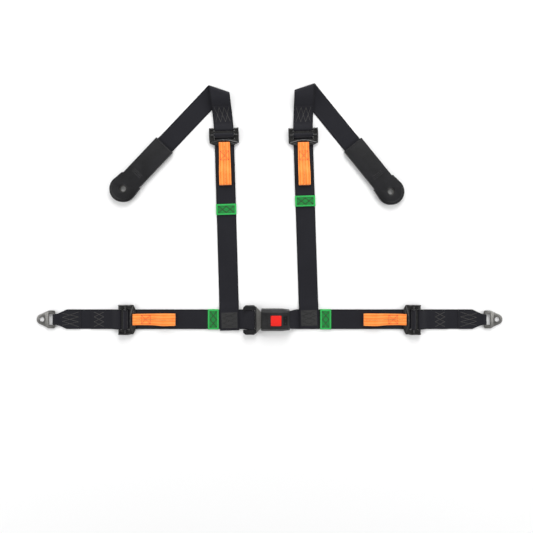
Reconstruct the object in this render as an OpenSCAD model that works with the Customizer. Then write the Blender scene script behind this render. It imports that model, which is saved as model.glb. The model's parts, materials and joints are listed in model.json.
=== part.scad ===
// Four-point racing harness with two-inch webbing, laid out flat with its front face up.
// The buckle sits at the origin on the floor. +X runs to the right-hand lap end and +Y to the shoulders.
// Every limb has its own frame: its origin is on the floor under the slide bar, +X points to the buckle.

/* [Layout] */
// Distance of the left slide bar of the lap strap from the buckle, mm
lap_left_reach = 367.2; // [300:1:450]
// Distance of the right slide bar of the lap strap from the buckle, mm
lap_right_reach = 338.4; // [280:1:420]
// Height of the shoulder slide bars above the lap strap, mm
shoulder_reach = 452; // [380:1:520]
// Sideways place of the left shoulder slide bar, mm
shoulder_left_x = -125.8; // [-150:0.1:-100]
// Sideways place of the right shoulder slide bar, mm
shoulder_right_x = 68; // [50:0.1:100]
// Sideways place where the left shoulder strap is sewn to the lap strap, mm
joint_left_x = -113; // [-130:0.1:-100]
// Sideways place where the right shoulder strap is sewn to the lap strap, mm
joint_right_x = 82.6; // [70:0.1:100]

/* [Webbing] */
// Width of the two-inch webbing, mm
web_width = 48; // [40:1:60]
// Thickness of one layer of webbing, mm
web = 1.5; // [1:0.1:2.5]
// Gap between two layers lying on each other, mm
layer_gap = 0.05; // [0.02:0.01:0.2]
// Free tail of a lap strap beyond its slide bar, mm
lap_tail = 201.5; // [120:0.5:260]
// Free tail of the left shoulder strap beyond its slide bar, mm
shoulder_left_tail = 168.5; // [135:0.5:260]
// Free tail of the right shoulder strap beyond its slide bar, mm
shoulder_right_tail = 148; // [135:0.5:260]

/* [Tail ends] */
// Length of a green tail end, mm
tail_end_length = 26.6; // [15:0.1:40]
// Width of a green tail end, mm
tail_end_width = 50; // [44:0.5:60]
// Thickness of a green tail end, mm
tail_end_thickness = 3.2; // [1.5:0.1:5]

/* [Adjusters] */
// Overall width of an adjuster, mm
adjuster_width = 72; // [64:1:84]
// Thickness of the adjuster plate, mm
plate_thickness = 2.5; // [1.5:0.1:4]
// Height of the underside of the adjuster plate, mm
plate_floor = 5; // [4.5:0.1:6]
// Diameter of the knurled slide bar, mm
slide_bar_diameter = 7; // [5:0.1:9]
// Height of the slide bar axis, mm
slide_bar_height = 9.8; // [9:0.1:12]
// Travel of the slide bar to the lip, mm
slide_travel = 4; // [2:0.1:4]
// Diameter of the rod that the anchor strap loops round, mm
anchor_rod_diameter = 5; // [4:0.1:6]

/* [Pull tabs] */
// Width of a pull tab, mm
tab_width = 29; // [20:0.5:34]
// Thickness of the pull tab tape, mm
tab_tape = 1.2; // [0.8:0.1:1.6]
// Length of a pull tab from its bar, mm
tab_length = 103; // [80:1:120]
// Diameter of the bar that carries the pull tab, mm
tab_bar_diameter = 2.6; // [2:0.1:3]

/* [Lap end plates] */
// Distance from the slide bar to the bolt hole of a lap end, mm
lap_hole_reach = 206.9; // [180:0.1:240]
// Diameter of every bolt hole, mm
bolt_hole = 12.5; // [10:0.1:14]
// Thickness of the end plates, mm
end_plate = 3; // [2:0.1:4]
// Width of the end plates, mm
end_plate_width = 43.3; // [36:0.1:50]
// Distance from the bolt hole to the webbing bar, mm
end_bar_reach = 31; // [28:0.1:36]

/* [Shoulder ends] */
// Middle radius of the soft roll where a shoulder strap folds under, mm
roll_radius = 9; // [6:0.1:12]
// Middle of the left fold, mm
fold_left = [-135.5, 554.5]; // [-145:0.5:-130] across, [545:0.5:575] up
// Middle of the right fold, mm
fold_right = [70, 560]; // [64:0.5:78] across, [545:0.5:575] up
// Bolt hole of the left shoulder end, mm
hole_left = [-373.3, 320.5]; // [-390:0.1:-360] across, [300:0.1:340] up
// Bolt hole of the right shoulder end, mm
hole_right = [282.5, 313.7]; // [270:0.1:300] across, [300:0.1:340] up
// Length of a boot from its mouth to the bolt hole, mm
boot_length = 148; // [120:1:170]
// Width of the boot sleeve, mm
boot_width = 54; // [52:1:62]
// Thickness of a boot, mm
boot_thickness = 12; // [11.5:0.1:14]
// Radius of the round boot head, mm
boot_head = 32.5; // [28:0.1:36]

/* [Buckle] */
// Length of the buckle housing, mm
buckle_length = 70; // [60:1:80]
// Width of the buckle housing, mm
buckle_width = 53; // [50:1:60]
// Height of the buckle housing, mm
buckle_height = 24; // [22:0.5:28]
// Height of the underside of the blade, mm
blade_floor = 10; // [10:0.1:11]
// Thickness of the blade, mm
blade_thickness = 2.5; // [2:0.1:3]

/* [Show] */
// The piece to draw, or all of them

/* [Hidden] */
$fn = 48;
black_web = [0.14, 0.14, 0.16];
green_web = [0.2, 0.66, 0.32];
orange_web = [1, 0.59, 0.24];
dark_steel = [0.25, 0.25, 0.27];
plain_steel = [0.42, 0.42, 0.4];
black_plastic = [0.07, 0.07, 0.08];
button_red = [0.82, 0.09, 0.07];

half_web = web_width / 2;
half = web / 2;
step = web + layer_gap;
far = 400;

// ---- Shared shapes for paths and bands of webbing ----

function unit(a) = a / norm(a);
function left_of(a) = [-a.y, a.x];
function heading(a) = [cos(a), sin(a)];
function angle_of(a) = atan2(a.y, a.x);
function backwards(p) = [for (i = [len(p) - 1:-1:0]) p[i]];
function before(p, i) = unit(i > 0 ? p[i] - p[i - 1] : p[1] - p[0]);
function after(p, i) = i < len(p) - 1 ? unit(p[i + 1] - p[i]) : before(p, i);
function miter(a, b) = unit(left_of(a) + left_of(b)) / (unit(left_of(a) + left_of(b)) * left_of(a));
function beside(p, d) = [for (i = [0:len(p) - 1]) p[i] + miter(before(p, i), after(p, i)) * d];
function band(p, t) = concat(beside(p, -t / 2), backwards(beside(p, t / 2)));
function arc(c, r, a, b, n = 16) = [for (k = [0:n]) c + r * heading(a + (b - a) * k / n)];
function lift(f) = (1 - cos(180 * f)) / 2;
function ease(a, b, n = 12) =
    [for (k = [1:n]) [a.x + (b.x - a.x) * k / n, a.y + (b.y - a.y) * lift(k / n)]];
function meet(p, d, q, e) = p + d * cross(q - p, e) / cross(d, e);

// A shape drawn as length against height, given a width across the strap.
module across(shape, width) {
    rotate([90, 0, 0])
        linear_extrude(height = width, center = true)
            polygon(shape);
}

// A shape drawn as width against height, given a length along X.
module along(shape, x0, x1) {
    translate([x0, 0, 0])
        rotate([90, 0, 90])
            linear_extrude(height = x1 - x0)
                polygon(shape);
}

// A ribbon that follows a path, cut to an outline seen from above.
module ribbon(path, thickness, outline) {
    intersection() {
        across(band(path, thickness), far);
        translate([0, 0, -1])
            linear_extrude(height = 40)
                polygon(outline);
    }
}

module slab(x0, x1, y0, y1, z0, z1) {
    translate([x0, y0, z0])
        cube([x1 - x0, y1 - y0, z1 - z0]);
}

module rod_across(x, z, r, width) {
    translate([x, 0, z])
        rotate([90, 0, 0])
            cylinder(r = r, h = width, center = true);
}

// A compression spring drawn as a thin tube with a fold for each turn.
module coil(radius, wire, height, turns) {
    pitch = (height - wire) / turns / 2;
    folds = [for (k = [0:2 * turns]) [radius + (k % 2 - 0.5) * wire, wire / 2 + k * pitch]];
    rotate_extrude()
        polygon(band(folds, wire / 2));
}

// ---- Places of the four limbs ----

lap_left_bar = [-lap_left_reach, 0];
lap_right_bar = [lap_right_reach, 0];
shoulder_left_bar = [shoulder_left_x, shoulder_reach];
shoulder_right_bar = [shoulder_right_x, shoulder_reach];
shoulder_left_turn = angle_of([joint_left_x, 0] - shoulder_left_bar);
shoulder_right_turn = angle_of([joint_right_x, 0] - shoulder_right_bar);

module in_limb(bar, turn) {
    translate([bar.x, bar.y, 0])
        rotate([0, 0, turn])
            children();
}

module at_lap_left() {
    in_limb(lap_left_bar, 0)
        children();
}

module at_lap_right() {
    in_limb(lap_right_bar, 180)
        children();
}

module at_shoulder_left() {
    in_limb(shoulder_left_bar, shoulder_left_turn)
        children();
}

module at_shoulder_right() {
    in_limb(shoulder_right_bar, shoulder_right_turn)
        children();
}

// ---- Webbing through an adjuster ----

bar_centre = [0, slide_bar_height];
wrap_radius = slide_bar_diameter / 2 + 0.1 + half;
run_top = [4, half];
run_to_bar = bar_centre - run_top;
rise_angle = angle_of(run_to_bar) + asin(wrap_radius / norm(run_to_bar));
rise_length = sqrt(norm(run_to_bar) * norm(run_to_bar) - wrap_radius * wrap_radius);
rise_end = run_top + heading(rise_angle) * rise_length;
run_end = run_top + heading(rise_angle) * rise_length * 0.25;
wrap_start = angle_of(rise_end - bar_centre) + 360;
tail_middle = web + 0.3 + half;
bend_radius = 5 - tail_middle;
tail_start = wrap_radius + bend_radius;

module lower_run(path) {
    across(band(concat(path, [run_end]), web), web_width);
}

module wrap() {
    across(band(concat(
        [run_end],
        arc(bar_centre, wrap_radius, wrap_start, 0, 24),
        arc([tail_start, 5], bend_radius, 180, 270, 8)
    ), web), web_width);
}

module tail(length) {
    slab(tail_start + 0.1, length, -half_web, half_web, tail_middle - half, tail_middle + half);
}

module tail_end(length) {
    low = tail_middle - half;
    high = low + tail_end_thickness;
    edge = 0.8;
    intersection() {
        slab(length, length + tail_end_length, -tail_end_width / 2, tail_end_width / 2, low, high);
        across([
            [length, low], [length + tail_end_length - edge, low],
            [length + tail_end_length, low + edge], [length + tail_end_length, high - edge],
            [length + tail_end_length - edge, high], [length, high]
        ], 80);
    }
}

// ---- Adjuster ----

rail_in = 25;
outer = adjuster_width / 2;
flange = 2.5;
plate_top = plate_floor + plate_thickness;
horn_x = -17.5;
lip_x = 10;
tab_bar = [19.5, 6.3];
anchor_rod = [-14.5, 6.25];

module frame_plate() {
    translate([0, 0, plate_floor])
        linear_extrude(height = plate_thickness)
            polygon([
                [horn_x, -outer], [19, -outer], [24, -26], [24, -15.5], [15, -15.5],
                [15, 15.5], [24, 15.5], [24, 26], [19, outer], [horn_x, outer],
                [horn_x, rail_in], [lip_x, rail_in], [lip_x, -rail_in], [horn_x, -rail_in]
            ]);
}

module flanges() {
    side = [
        [horn_x, plate_floor], [horn_x, 11], [-13.5, 14.5], [8, 14.5], [13, 10], [13, plate_floor]
    ];
    low = slide_bar_height - 2.3;
    for (y = [-1, 1])
        difference() {
            translate([0, y * (outer - flange / 2), 0])
                across(side, flange);
            slab(0, slide_travel, y * outer - 4, y * outer + 4, low, low + 4.6);
            translate([0, y * outer, slide_bar_height])
                rotate([90, 0, 0])
                    cylinder(r = 2.3, h = 8, center = true);
            translate([slide_travel, y * outer, slide_bar_height])
                rotate([90, 0, 0])
                    cylinder(r = 2.3, h = 8, center = true);
        }
}

// The lip is swept back on both sides, like a pair of wings.
module lip_ridge() {
    for (y = [-1, 1])
        translate([14.7, y * 17, plate_top])
            rotate([90, 0, -y * 16])
                cylinder(r = 1.5, h = 27, center = true);
}

module adjuster_frame() {
    color(dark_steel)
        union() {
            frame_plate();
            flanges();
            lip_ridge();
            slab(-9.8, -5.5, -rail_in - 1, rail_in + 1, plate_floor, plate_top);
            rod_across(anchor_rod.x, anchor_rod.y, anchor_rod_diameter / 2, 66);
            rod_across(tab_bar.x, tab_bar.y, tab_bar_diameter / 2, 36);
        }
}

module slide_bar() {
    color(plain_steel)
        union() {
            rod_across(0, slide_bar_height, slide_bar_diameter / 2, 49);
            rod_across(0, slide_bar_height, 2, 2 * outer - 0.6);
        }
}

// ---- Pull tab ----

tab_low = tab_bar.y - tab_bar_diameter / 2 - 0.2 - tab_tape / 2;
tab_high = 2 * tab_bar.y - tab_low;
tab_second = tab_low + tab_tape + layer_gap;
tab_nose = 3.6;
tab_far = tab_bar.x + tab_length - tab_nose - tab_tape / 2;

module pull_tab() {
    nose = [tab_far, tab_low + tab_nose];
    color(orange_web)
        union() {
            across(band(concat(
                arc(tab_bar, tab_bar.y - tab_low, 90, 270, 12),
                arc(nose, tab_nose, -90, 90, 12),
                ease(nose + [0, tab_nose], [96, 13.6]),
                ease([96, 13.6], [62, tab_second])
            ), tab_tape), tab_width);
            across(band(concat(
                [[62, tab_second], [38, tab_second]],
                ease([38, tab_second], [tab_bar.x, tab_high])
            ), tab_tape), tab_width);
        }
}

// ---- Anchor straps ----

rod_mid = anchor_rod_diameter / 2 + 0.3 + half;
rod_low = anchor_rod.y - rod_mid;
rod_high = anchor_rod.y + rod_mid;
end_bar_height = 4;
lap_bar = [end_bar_reach - lap_hole_reach, end_bar_height];
lap_bar_mid = 2.5 + half;

module lap_anchor_strap() {
    path = concat(
        [[-111.8, half + step], [-157, half + step]],
        ease([-157, half + step], [lap_bar.x + 1, lap_bar.y + lap_bar_mid]),
        arc(lap_bar, lap_bar_mid, 90, 270),
        [[-36, half]],
        ease([-36, half], [anchor_rod.x - 1, rod_low], 8),
        arc(anchor_rod, rod_mid, -90, 90),
        ease([anchor_rod.x, rod_high], [-37, half + step]),
        [[-85.9, half + step]]
    );
    narrow = 13;
    color(black_web)
        ribbon(path, web, [
            [lap_bar.x - 8, -narrow], [lap_bar.x + 6, -narrow], [lap_bar.x + 30, -half_web],
            [0, -half_web], [0, half_web], [lap_bar.x + 30, half_web], [lap_bar.x + 6, narrow],
            [lap_bar.x - 8, narrow]
        ]);
}

// Outline of a fold, worked out from the strap coming in, its middle and the bolt hole it leads to.
function fold_shift(in_angle, crease) = roll_radius * PI * cos(in_angle - crease) / sin(in_angle - crease);
function crease_of(rod, fold, hole, n = 6, guess = 0) =
    n == 0 ? guess : crease_of(rod, fold, hole, n - 1, (angle_of(fold - rod) + angle_of(
        hole - fold - fold_shift(angle_of(fold - rod), guess) * heading(guess)) ) / 2);
function half_turn(a) = a > 90 ? a - 180 : (a < -90 ? a + 180 : a);

function rod_place(bar, turn) = bar + anchor_rod.x * heading(turn);
left_rod = rod_place(shoulder_left_bar, shoulder_left_turn);
right_rod = rod_place(shoulder_right_bar, shoulder_right_turn);
left_in = angle_of(fold_left - left_rod);
right_in = angle_of(fold_right - right_rod);
left_crease = half_turn(crease_of(left_rod, fold_left, hole_left));
right_crease = half_turn(crease_of(right_rod, fold_right, hole_right));
left_shift = fold_shift(left_in, left_crease);
right_shift = fold_shift(right_in, right_crease);
left_out = fold_left + left_shift * heading(left_crease);
right_out = fold_right + right_shift * heading(right_crease);
roll_top = half + 2 * roll_radius;

function in_frame(p, bar, turn) = [(p - bar) * heading(turn), (p - bar) * left_of(heading(turn))];

module shoulder_anchor_strap(bar, turn, fold, in_angle, crease) {
    f = in_frame(fold, bar, turn);
    d = heading(in_angle - turn);
    c = heading(crease - turn);
    edge = left_of(d) * half_web;
    rod = [anchor_rod.x, 0];
    reach = f.x;
    rise = concat(
        [[reach - 20, roll_top], [reach + 9, roll_top]],
        ease([reach + 9, roll_top], [-48, rod_low], 16)
    );
    over = [for (p = beside(rise, step)) if (p.x > -71.5) p];
    path = concat(
        rise,
        arc(anchor_rod, rod_mid, -90, 90),
        ease([anchor_rod.x, rod_high], [-32, rod_low + step], 8),
        backwards(over)
    );
    color(black_web)
        ribbon(path, web, [
            [0, half_web], [-22, half_web], meet(rod - edge, d, f, c), meet(rod + edge, d, f, c),
            [-22, -half_web], [0, -half_web]
        ]);
}

// ---- Fold and shoulder end ----

module fold(middle, in_angle, crease, shift) {
    reach = half_web / abs(sin(in_angle - crease));
    out = roll_radius + half;
    seam = 0.01;
    color(black_web)
        translate([middle.x, middle.y, 0])
            rotate([0, 0, crease])
                for (upper = [0, 1])
                    intersection() {
                        difference() {
                            translate([0, 0, roll_radius + half])
                                rotate([0, 90, 0])
                                    cylinder(r = out, h = far, center = true);
                            translate([0, 0, roll_radius + half])
                                rotate([0, 90, 0])
                                    cylinder(r = out - web, h = far + 2, center = true);
                        }
                        translate([0, 0, upper * out])
                            linear_extrude(height = out)
                                polygon([
                                    [-reach + (1 - upper) * shift, seam],
                                    [reach + (1 - upper) * shift, seam],
                                    [reach + shift / 2, out], [-reach + shift / 2, out]
                                ]);
                    }
}

module in_end(start, hole) {
    translate([hole.x, hole.y, 0])
        rotate([0, 0, angle_of(start - hole)])
            children();
}

inner_bar = [end_bar_reach, 6];

module end_strap(start, hole, crease) {
    length = norm(start - hole);
    c = heading(crease - angle_of(start - hole));
    s = [length, 0];
    narrow = 13;
    path = concat(
        [[length + 20, half], [boot_length + 18, half]],
        ease([boot_length + 18, half], [boot_length + 2, inner_bar.y - lap_bar_mid], 8),
        [[inner_bar.x + 1, inner_bar.y - lap_bar_mid]],
        arc(inner_bar, lap_bar_mid, 270, 90),
        ease([inner_bar.x, inner_bar.y + lap_bar_mid], [52, inner_bar.y - lap_bar_mid + step]),
        [[100, inner_bar.y - lap_bar_mid + step]]
    );
    color(black_web)
        in_end(start, hole)
            ribbon(path, web, [
                [20, -narrow], [end_bar_reach + 6, -narrow], [end_bar_reach + 30, -half_web],
                meet([0, -half_web], [1, 0], s, c), meet([0, half_web], [1, 0], s, c),
                [end_bar_reach + 30, half_web], [end_bar_reach + 6, narrow], [20, narrow]
            ]);
}

module anchor_plate(start, hole) {
    wide = end_plate_width / 2;
    low = inner_bar.y - end_plate / 2;
    color(plain_steel)
        in_end(start, hole)
            union() {
                difference() {
                    union() {
                        translate([0, 0, low])
                            cylinder(r = wide, h = end_plate);
                        slab(0, end_bar_reach + 2.5, -wide, wide, low, low + end_plate);
                    }
                    translate([0, 0, -1])
                        cylinder(r = bolt_hole / 2, h = 20);
                    slab(18, end_bar_reach + 10, -13.5, 13.5, 0, 20);
                }
                rod_across(inner_bar.x, inner_bar.y, 2.25, 29);
            }
}

module boot(start, hole) {
    sleeve = boot_width / 2;
    wide = end_plate_width / 2 + 0.3;
    low = inner_bar.y - end_plate / 2 - 0.3;
    bevel = 1.5;
    top = boot_thickness;
    color(black_plastic)
        in_end(start, hole)
            difference() {
                union() {
                    along([
                        [-sleeve, bevel], [bevel - sleeve, 0], [sleeve - bevel, 0], [sleeve, bevel],
                        [sleeve, top - bevel], [sleeve - bevel, top], [bevel - sleeve, top],
                        [-sleeve, top - bevel]
                    ], 20, boot_length);
                    cylinder(r = boot_head, h = top);
                    linear_extrude(height = top)
                        polygon([
                            [0, -boot_head], [29, -29.5], [29, 29.5], [0, boot_head]
                        ]);
                }
                slab(38, boot_length + 1, -25.2, 25.2, 1.5, top - 1.5);
                slab(24, 40, -wide, wide, 1.6, top - 1.6);
                slab(0, 40, -wide, wide, low, low + end_plate + 0.6);
                translate([0, 0, low])
                    cylinder(r = wide, h = end_plate + 0.6);
                translate([0, 0, -1])
                    cylinder(r = 8.5, h = 20);
            }
}

// ---- Lap end plate ----

module lap_plate() {
    wide = end_plate_width / 2;
    nose = 12.5;
    corner = [17, wide];
    touch = angle_of(corner) + acos(nose / norm(corner));
    tip = nose * heading(touch);
    profile = band([
        [-20, end_plate / 2], [9, end_plate / 2], [17, end_bar_height], [end_bar_reach + 2.5, end_bar_height]
    ], end_plate);
    color(plain_steel)
        translate([-lap_hole_reach, 0, 0])
            union() {
                difference() {
                    intersection() {
                        across(profile, 60);
                        translate([0, 0, -1])
                            linear_extrude(height = 10)
                                union() {
                                    circle(r = nose);
                                    polygon([
                                        tip, corner, [end_bar_reach, wide], [end_bar_reach + 2.5, wide - 3],
                                        [end_bar_reach + 2.5, 3 - wide], [end_bar_reach, -wide],
                                        [corner.x, -corner.y], [tip.x, -tip.y]
                                    ]);
                                }
                    }
                    slab(18, end_bar_reach + 10, -13.5, 13.5, -1, 20);
                    translate([0, 0, -1])
                        cylinder(r = bolt_hole / 2, h = 20);
                }
                difference() {
                    cylinder(r = 9, h = end_plate + 0.6);
                    translate([0, 0, -1])
                        cylinder(r = bolt_hole / 2, h = 20);
                }
                rod_across(end_bar_reach, end_bar_height, 2.25, 29);
            }
}

// ---- Tongue ----

tongue_bar = [-54.5, blade_floor + blade_thickness / 2];
tongue_mid = 2.5 + 0.3 + half;
tongue_weld = -86;

module tongue_plate() {
    color(plain_steel)
        union() {
            translate([0, 0, blade_floor])
                linear_extrude(height = blade_thickness)
                    difference() {
                        polygon([
                            [2, -17.5], [2, 17.5], [0, 19.5], [-35.3, 19.5], [-47.4, 33], [-72, 33],
                            [-72, 26], [-49.7, 26], [-49.7, -26], [-72, -26], [-72, -33],
                            [-47.4, -33], [-35.3, -19.5], [0, -19.5]
                        ]);
                        translate([-12, -7.8])
                            square([6.5, 15.6]);
                    }
            rod_across(tongue_bar.x, tongue_bar.y, 2.5, 54);
        }
}

module tongue_cover() {
    color(black_plastic)
        difference() {
            intersection() {
                along([
                    [-36, 9], [-34, 7.2], [34, 7.2], [36, 9],
                    [36, 13.5], [34, 15.3], [-34, 15.3], [-36, 13.5]
                ], -78.8, -46.5);
                linear_extrude(height = 20)
                    polygon([
                        [-78.8, -30], [-72.5, -36], [-52, -36], [-46.5, -30],
                        [-46.5, 30], [-52, 36], [-72.5, 36], [-78.8, 30]
                    ]);
            }
            slab(-80, -49.7, -24.6, 24.6, 0, 20);
            slab(-72, -49.7, 24, 33, blade_floor, blade_floor + blade_thickness);
            slab(-72, -49.7, -33, -24, blade_floor, blade_floor + blade_thickness);
            slab(-49.7, -46, -33, 33, blade_floor, blade_floor + blade_thickness);
            rod_across(tongue_bar.x, tongue_bar.y, 2.5, 54);
        }
}

module tongue_loop() {
    path = concat(
        [[tongue_weld, half], [tongue_weld + 1, half]],
        ease([tongue_weld + 1, half], [-57, tongue_bar.y - tongue_mid]),
        arc(tongue_bar, tongue_mid, -90, 90),
        ease([tongue_bar.x, tongue_bar.y + tongue_mid], [-87, half + web]),
        [[joint_left_x - half_web - 0.9, half + web]]
    );
    color(black_web)
        across(band(path, web), web_width);
}

// ---- Buckle ----

rear_bar = [27, 11.5];
rear_mid = 2.5 + 0.3 + half;
rear_weld = 55;
split = 8;
cavity = 22.3;
side = buckle_width / 2;
end_x = buckle_length / 2;
base_top = 9.5;

module buckle_loop() {
    path = concat(
        [[rear_weld, half], [rear_weld - 1, half]],
        ease([rear_weld - 1, half], [29, rear_bar.y - rear_mid]),
        arc(rear_bar, rear_mid, 270, 90),
        ease([rear_bar.x, rear_bar.y + rear_mid], [56, half + web]),
        [[joint_right_x + half_web + 0.9, half + web]]
    );
    color(black_web)
        ribbon(path, web, [
            [20, -20], [31, -20], [39, -22], [53, -half_web], [120, -half_web],
            [120, half_web], [53, half_web], [39, 22], [31, 20], [20, 20]
        ]);
}

module housing() {
    intersection() {
        along([
            [-side, 1.5], [1.5 - side, 0], [side - 1.5, 0], [side, 1.5], [side, 14],
            [20, buckle_height], [-20, buckle_height], [-side, 14]
        ], -end_x, end_x);
        across([
            [-end_x, 1.5], [1.5 - end_x, 0], [end_x - 1.5, 0], [end_x, 1.5], [end_x, 17],
            [31, buckle_height], [-31, buckle_height], [-end_x, 16]
        ], 80);
        linear_extrude(height = 40)
            polygon([
                [-end_x, 2 - side], [2 - end_x, -side], [18, -side], [end_x, 3.1 - side],
                [end_x, side - 3.1], [18, side], [2 - end_x, side], [-end_x, side - 2]
            ]);
    }
}

module screw_places() {
    for (y = [-1, 1]) {
        translate([-31.5, y * 23.6, 0])
            children();
        translate([15.5, y * 24.4, 0])
            children();
    }
}

module buckle_base() {
    color(black_plastic)
        union() {
            difference() {
                intersection() {
                    housing();
                    slab(-50, 50, -50, 50, -1, split);
                }
                slab(-28, 31, -cavity, cavity, 1.5, 20);
                slab(30, 40, -21.3, 21.3, 5.5, 20);
                screw_places()
                    union() {
                        translate([0, 0, -1])
                            cylinder(r = 2, h = 3.4);
                        cylinder(r = 1.3, h = 20);
                    }
            }
            for (x = [-24, 14])
                for (y = [-17, 17])
                    translate([x, y, 1])
                        cylinder(r = 2.5, h = 6.5);
        }
}

module buckle_cover() {
    color(black_plastic)
        difference() {
            intersection() {
                housing();
                slab(-50, 50, -50, 50, split, 50);
            }
            slab(-28, 31, -cavity, cavity, 0, 16.3);
            slab(-28, 29, -17, 17, 0, 21.5);
            slab(-40, -27, -20.3, 20.3, 9.2, 13.5);
            slab(30, 40, -21.3, 21.3, 0, 16.8);
            slab(-12.1, 15, -13.4, 13.4, 10, 40);
            slab(19.3, 28.7, -10.5, 10.5, 22.6, 40);
            screw_places()
                cylinder(r = 1.05, h = 14);
        }
}

module buckle_frame() {
    color(dark_steel)
        union() {
            difference() {
                slab(-27, 21.5, -22, 22, base_top - 2, base_top);
                slab(-11.5, -4.3, -8, 8, 0, 20);
            }
            for (y = [-1, 1])
                translate([0, y * 21.25, 0])
                    across([
                        [-27, base_top - 2], [30.6, base_top - 2], [30.6, 14], [29, 16], [-24, 16], [-27, 14]
                    ], 1.5);
            slab(19.5, 21.3, -5, 5, base_top - 1, 14);
            rod_across(rear_bar.x, rear_bar.y, 2.5, 43);
        }
}

module buckle_screws() {
    color(plain_steel)
        screw_places()
            union() {
                difference() {
                    translate([0, 0, 0.4])
                        cylinder(r = 1.8, h = 2);
                    translate([0, 0, -0.4])
                        cylinder(r = 1, h = 1.8, $fn = 6);
                }
                translate([0, 0, 2])
                    cylinder(r = 1, h = 11.8);
            }
}

module button() {
    color(button_red)
        union() {
            slab(-11.7, 14.6, -13, 13, 17, buckle_height - 0.4);
            slab(-13.5, 16.5, -14.8, 14.8, 19.5, 21.2);
            slab(-10, -6, -6, 6, blade_floor + blade_thickness + 0.4, 18);
        }
}

module button_springs() {
    color(plain_steel)
        for (y = [-9.5, 9.5])
            translate([11, y, base_top + 0.4])
                coil(2.6, 0.7, 6.7, 4);
}

module latch_leaf() {
    color(plain_steel)
        union() {
            across(band(concat(
                [[19, 7.05], [7, 7.05]],
                ease([7, 7.05], [-3, 5.3], 6),
                [[-10.5, 5.3]]
            ), 0.8), 14);
            slab(-9.8, -5.8, -7, 7, 5.3, blade_floor + blade_thickness + 0.1);
        }
}

module ejector() {
    color(black_plastic)
        slab(2.4, 7.4, -11.5, 11.5, base_top + 0.3, 13.5);
}

module ejector_spring() {
    color(plain_steel)
        translate([7.8, 0, 11.7])
            rotate([0, 90, 0])
                coil(1.3, 0.5, 11.3, 6);
}

// ---- The named pieces ----

module lap_left_webbing() {
    color(black_web)
        at_lap_left()
            lower_run([[tongue_weld + lap_left_reach, half], run_top]);
}

module lap_left_wrap() {
    color(black_web)
        at_lap_left()
            wrap();
}

module lap_left_tail() {
    color(black_web)
        at_lap_left()
            tail(lap_tail);
}

module lap_left_tail_end() {
    color(green_web)
        at_lap_left()
            tail_end(lap_tail);
}

module lap_left_frame() {
    at_lap_left()
        adjuster_frame();
}

module lap_left_slide_bar() {
    at_lap_left()
        slide_bar();
}

module lap_left_pull_tab() {
    at_lap_left()
        pull_tab();
}

module lap_left_anchor_strap() {
    at_lap_left()
        lap_anchor_strap();
}

module lap_left_plate() {
    at_lap_left()
        lap_plate();
}

module lap_right_webbing() {
    color(black_web)
        at_lap_right()
            lower_run([[lap_right_reach - rear_weld, half], run_top]);
}

module lap_right_wrap() {
    color(black_web)
        at_lap_right()
            wrap();
}

module lap_right_tail() {
    color(black_web)
        at_lap_right()
            tail(lap_tail);
}

module lap_right_tail_end() {
    color(green_web)
        at_lap_right()
            tail_end(lap_tail);
}

module lap_right_frame() {
    at_lap_right()
        adjuster_frame();
}

module lap_right_slide_bar() {
    at_lap_right()
        slide_bar();
}

module lap_right_pull_tab() {
    at_lap_right()
        pull_tab();
}

module lap_right_anchor_strap() {
    at_lap_right()
        lap_anchor_strap();
}

module lap_right_plate() {
    at_lap_right()
        lap_plate();
}

module shoulder_run(bar, foot) {
    length = norm([foot, 0] - bar);
    high = 2 * web + half;
    color(black_web)
        lower_run(concat(
            [[length + half_web, high], [length - half_web - 2, high]],
            ease([length - half_web - 2, high], [length - half_web - 26, half]),
            [run_top]
        ));
}

module shoulder_left_webbing() {
    at_shoulder_left()
        shoulder_run(shoulder_left_bar, joint_left_x);
}

module shoulder_left_wrap() {
    color(black_web)
        at_shoulder_left()
            wrap();
}

module shoulder_left_tail() {
    color(black_web)
        at_shoulder_left()
            tail(shoulder_left_tail);
}

module shoulder_left_tail_end() {
    color(green_web)
        at_shoulder_left()
            tail_end(shoulder_left_tail);
}

module shoulder_left_frame() {
    at_shoulder_left()
        adjuster_frame();
}

module shoulder_left_slide_bar() {
    at_shoulder_left()
        slide_bar();
}

module shoulder_left_pull_tab() {
    at_shoulder_left()
        pull_tab();
}

module shoulder_left_anchor_strap() {
    at_shoulder_left()
        shoulder_anchor_strap(shoulder_left_bar, shoulder_left_turn, fold_left, left_in, left_crease);
}

module shoulder_left_fold() {
    fold(fold_left, left_in, left_crease, left_shift);
}

module shoulder_left_end_strap() {
    end_strap(left_out, hole_left, left_crease);
}

module shoulder_left_anchor_plate() {
    anchor_plate(left_out, hole_left);
}

module shoulder_left_boot() {
    boot(left_out, hole_left);
}

module shoulder_right_webbing() {
    at_shoulder_right()
        shoulder_run(shoulder_right_bar, joint_right_x);
}

module shoulder_right_wrap() {
    color(black_web)
        at_shoulder_right()
            wrap();
}

module shoulder_right_tail() {
    color(black_web)
        at_shoulder_right()
            tail(shoulder_right_tail);
}

module shoulder_right_tail_end() {
    color(green_web)
        at_shoulder_right()
            tail_end(shoulder_right_tail);
}

module shoulder_right_frame() {
    at_shoulder_right()
        adjuster_frame();
}

module shoulder_right_slide_bar() {
    at_shoulder_right()
        slide_bar();
}

module shoulder_right_pull_tab() {
    at_shoulder_right()
        pull_tab();
}

module shoulder_right_anchor_strap() {
    at_shoulder_right()
        shoulder_anchor_strap(shoulder_right_bar, shoulder_right_turn, fold_right, right_in, right_crease);
}

module shoulder_right_fold() {
    fold(fold_right, right_in, right_crease, right_shift);
}

module shoulder_right_end_strap() {
    end_strap(right_out, hole_right, right_crease);
}

module shoulder_right_anchor_plate() {
    anchor_plate(right_out, hole_right);
}

module shoulder_right_boot() {
    boot(right_out, hole_right);
}

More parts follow.
